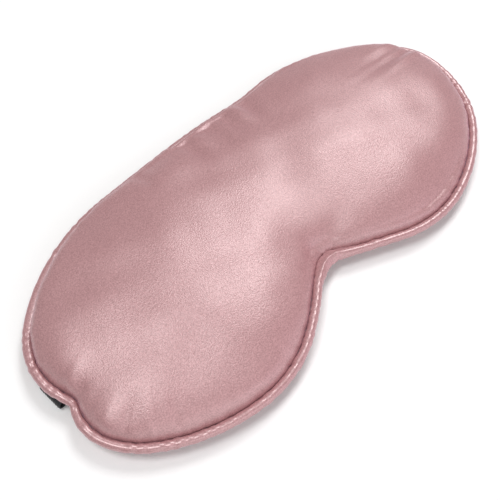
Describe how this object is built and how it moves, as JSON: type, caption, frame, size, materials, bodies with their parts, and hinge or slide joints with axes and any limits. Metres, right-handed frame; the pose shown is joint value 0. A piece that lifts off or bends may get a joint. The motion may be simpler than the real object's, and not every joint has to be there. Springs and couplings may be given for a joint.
{
  "type": "sleep eye mask",
  "caption": "Padded satin sleep mask with two rounded lobes, a nose notch, corded piping and an elastic head strap with a ring and slider.",
  "frame": {"origin": "on the surface that the mask lies on, under the middle of its length and width", "axes": "+X along the mask from end to end, +Y towards the forehead with the nose notch on -Y, +Z out of the front face"},
  "size_m": [0.2084, 0.1002, 0.017],
  "materials": {
    "satin": "dusty pink polyester satin, soft sheen",
    "wadding": "white polyester wadding, matt",
    "lining": "black non-woven blackout layer, matt",
    "cotton_cord": "twisted cotton piping cord, matt",
    "thread": "dark rose polyester sewing thread",
    "elastic": "black ribbed knitted elastic, matt",
    "black_thread": "black polyester sewing thread",
    "black_plastic": "moulded black plastic, semi-gloss"
  },
  "bodies": {
    "pad": {"front_panel": "satin", "padding": "wadding", "blackout_lining": "lining", "back_panel": "satin", "piping_cover": "satin", "piping_cord": "cotton_cord", "seam_thread": "thread", "strap_tack_left": "thread", "strap_tack_right": "thread", "strap_left_span": "elastic", "strap_right_span": "elastic"},
    "strap_back": {"strap_ring": "black_plastic", "ring_stitching": "black_thread", "strap_ring_span": "elastic"},
    "slider": {"strap_slider": "black_plastic", "slider_stitching": "black_thread", "strap_slider_span": "elastic"}
  },
  "joints": [
    {"name": "strap_pull", "type": "slide", "parent": "pad", "child": "strap_back", "axis": [0, 0, -1], "range_m": [0, 0.1], "stiffness_N_per_m": 30, "deforming": ["strap_left_span", "strap_right_span"]},
    {"name": "slider_slide", "type": "slide", "parent": "strap_back", "child": "slider", "axis": [1, 0, 0], "range_m": [-0.024, 0.024], "deforming": ["strap_slider_span", "strap_ring_span"]}
  ]
}
